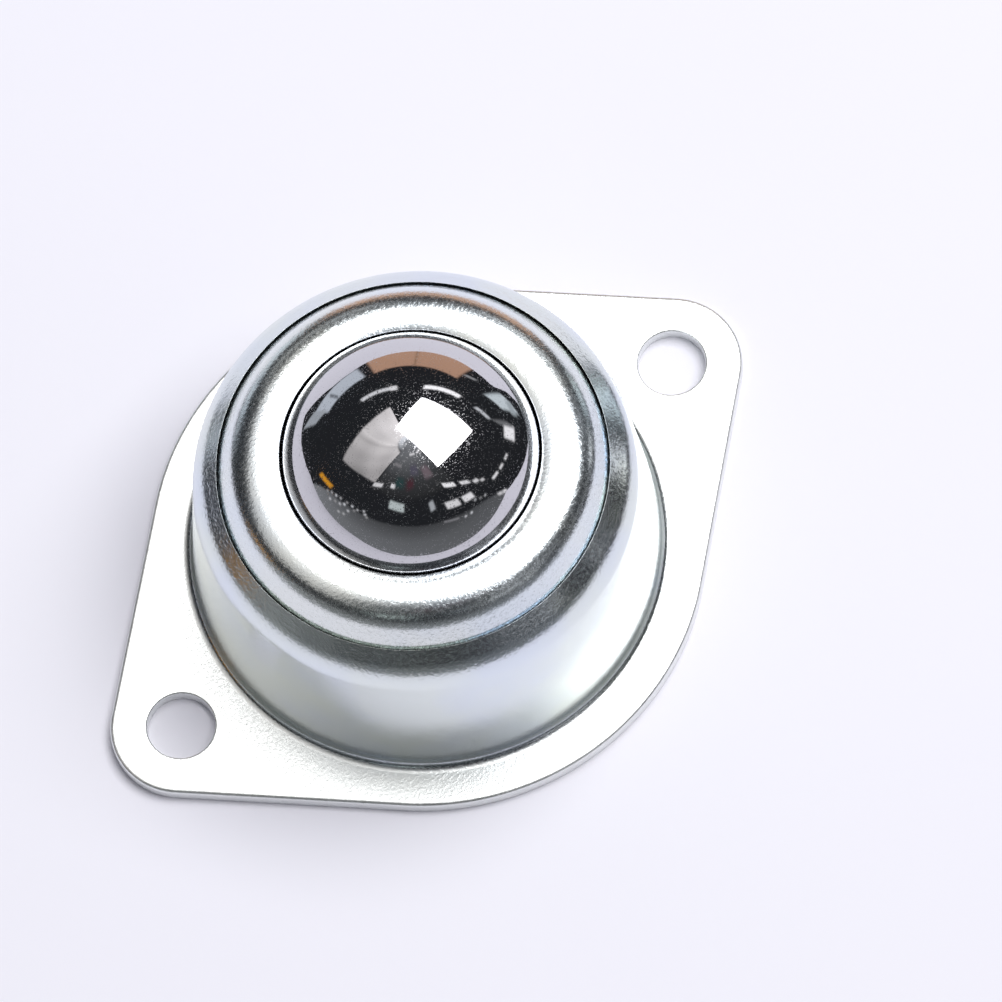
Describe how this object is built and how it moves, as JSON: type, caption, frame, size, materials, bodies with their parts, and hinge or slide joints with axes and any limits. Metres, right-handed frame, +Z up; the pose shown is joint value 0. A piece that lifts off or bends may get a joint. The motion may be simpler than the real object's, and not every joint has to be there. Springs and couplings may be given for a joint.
{
  "type": "ball transfer unit",
  "caption": "Ball transfer unit with a two-hole flange: a drawn sheet housing and retaining cap hold a load ball that turns on small support balls in a seat cup.",
  "frame": {"origin": "centre of the flange's underside, below the load ball", "axes": "+X through the two mounting holes, +Y across the flange's waist, +Z up through the load ball"},
  "size_m": [0.0712, 0.0522, 0.0333],
  "materials": {
    "housing_zinc": "bright zinc plated, satin",
    "cap_zinc": "bright zinc plated, satin",
    "seat_steel": "hardened and tumbled",
    "closure_zinc": "bright zinc plated, satin",
    "load_ball_steel": "ground and polished to a mirror",
    "support_ball_steel": "ground and polished"
  },
  "bodies": {
    "housing": {"flange_housing": "housing_zinc", "retaining_cap": "cap_zinc", "seat_cup": "seat_steel", "base_closure": "closure_zinc"},
    "support_balls": {"support_ball_lowest": "support_ball_steel", "support_ball_row1_01": "support_ball_steel", "support_ball_row1_02": "support_ball_steel", "support_ball_row1_03": "support_ball_steel", "support_ball_row1_04": "support_ball_steel", "support_ball_row1_05": "support_ball_steel", "support_ball_row1_06": "support_ball_steel", "support_ball_row2_01": "support_ball_steel", "support_ball_row2_02": "support_ball_steel", "support_ball_row2_03": "support_ball_steel", "support_ball_row2_04": "support_ball_steel", "support_ball_row2_05": "support_ball_steel", "support_ball_row2_06": "support_ball_steel", "support_ball_row2_07": "support_ball_steel", "support_ball_row2_08": "support_ball_steel", "support_ball_row2_09": "support_ball_steel", "support_ball_row2_10": "support_ball_steel", "support_ball_row2_11": "support_ball_steel", "support_ball_row3_01": "support_ball_steel", "support_ball_row3_02": "support_ball_steel", "support_ball_row3_03": "support_ball_steel", "support_ball_row3_04": "support_ball_steel", "support_ball_row3_05": "support_ball_steel", "support_ball_row3_06": "support_ball_steel", "support_ball_row3_07": "support_ball_steel", "support_ball_row3_08": "support_ball_steel", "support_ball_row3_09": "support_ball_steel", "support_ball_row3_10": "support_ball_steel", "support_ball_row3_11": "support_ball_steel", "support_ball_row3_12": "support_ball_steel", "support_ball_row3_13": "support_ball_steel", "support_ball_row3_14": "support_ball_steel", "support_ball_row3_15": "support_ball_steel", "support_ball_row3_16": "support_ball_steel", "support_ball_row4_01": "support_ball_steel", "support_ball_row4_02": "support_ball_steel", "support_ball_row4_03": "support_ball_steel", "support_ball_row4_04": "support_ball_steel", "support_ball_row4_05": "support_ball_steel", "support_ball_row4_06": "support_ball_steel", "support_ball_row4_07": "support_ball_steel", "support_ball_row4_08": "support_ball_steel", "support_ball_row4_09": "support_ball_steel", "support_ball_row4_10": "support_ball_steel", "support_ball_row4_11": "support_ball_steel", "support_ball_row4_12": "support_ball_steel", "support_ball_row4_13": "support_ball_steel", "support_ball_row4_14": "support_ball_steel", "support_ball_row4_15": "support_ball_steel", "support_ball_row4_16": "support_ball_steel", "support_ball_row4_17": "support_ball_steel", "support_ball_row4_18": "support_ball_steel", "support_ball_row4_19": "support_ball_steel", "support_ball_row4_20": "support_ball_steel"},
    "load_ball": {"load_ball": "load_ball_steel"}
  },
  "joints": [
    {"name": "support_balls_orbit", "type": "hinge", "parent": "housing", "child": "support_balls", "pos_m": [0, 0, 0.0206], "axis": [0, 0, 1], "continuous": true},
    {"name": "load_ball_roll", "type": "hinge", "parent": "support_balls", "child": "load_ball", "pos_m": [0, 0, 0.0206], "axis": [1, 0, 0], "continuous": true}
  ]
}
